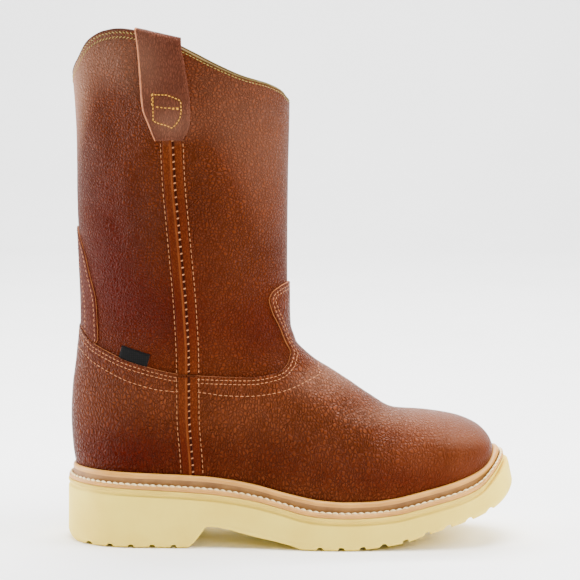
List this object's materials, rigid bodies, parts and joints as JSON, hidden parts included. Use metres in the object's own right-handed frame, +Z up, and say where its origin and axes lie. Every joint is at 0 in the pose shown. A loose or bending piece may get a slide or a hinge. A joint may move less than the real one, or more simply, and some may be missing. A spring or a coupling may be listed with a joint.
{
  "type": "roper work boot",
  "caption": "Tall pull-on work boot with a hollow leather upper, wavy collar, side pull straps, welt and a flat one-piece rubber sole with heel and cross-grooved tread.",
  "frame": {"origin": "on the floor, in the middle of the sole's bounding box", "axes": "+Z is up, +X points to the toe, -Y is the outer side of the foot"},
  "size_m": [0.3079, 0.108, 0.3505],
  "materials": {
    "shaft_leather": "pebbled red-brown, soft sheen",
    "vamp_leather": "pebbled orange-brown, waxed sheen",
    "trim_leather": "smooth brown, matt",
    "label_cloth": "plain black weave",
    "welt_leather": "natural veg tan, stitched",
    "sole_rubber": "matt cream crepe",
    "insole_leather": "plain board"
  },
  "bodies": {
    "root": {"upper": "shaft_leather", "vamp": "vamp_leather", "back_stay": "trim_leather", "seam_shaft_outer": "shaft_leather", "seam_shaft_inner": "shaft_leather", "seam_vamp_outer": "vamp_leather", "seam_vamp_inner": "vamp_leather", "pull_strap_outer": "trim_leather", "pull_strap_inner": "trim_leather", "label": "label_cloth", "welt": "welt_leather", "midsole": "sole_rubber", "insole": "insole_leather", "outsole": "sole_rubber"}
  },
  "joints": []
}
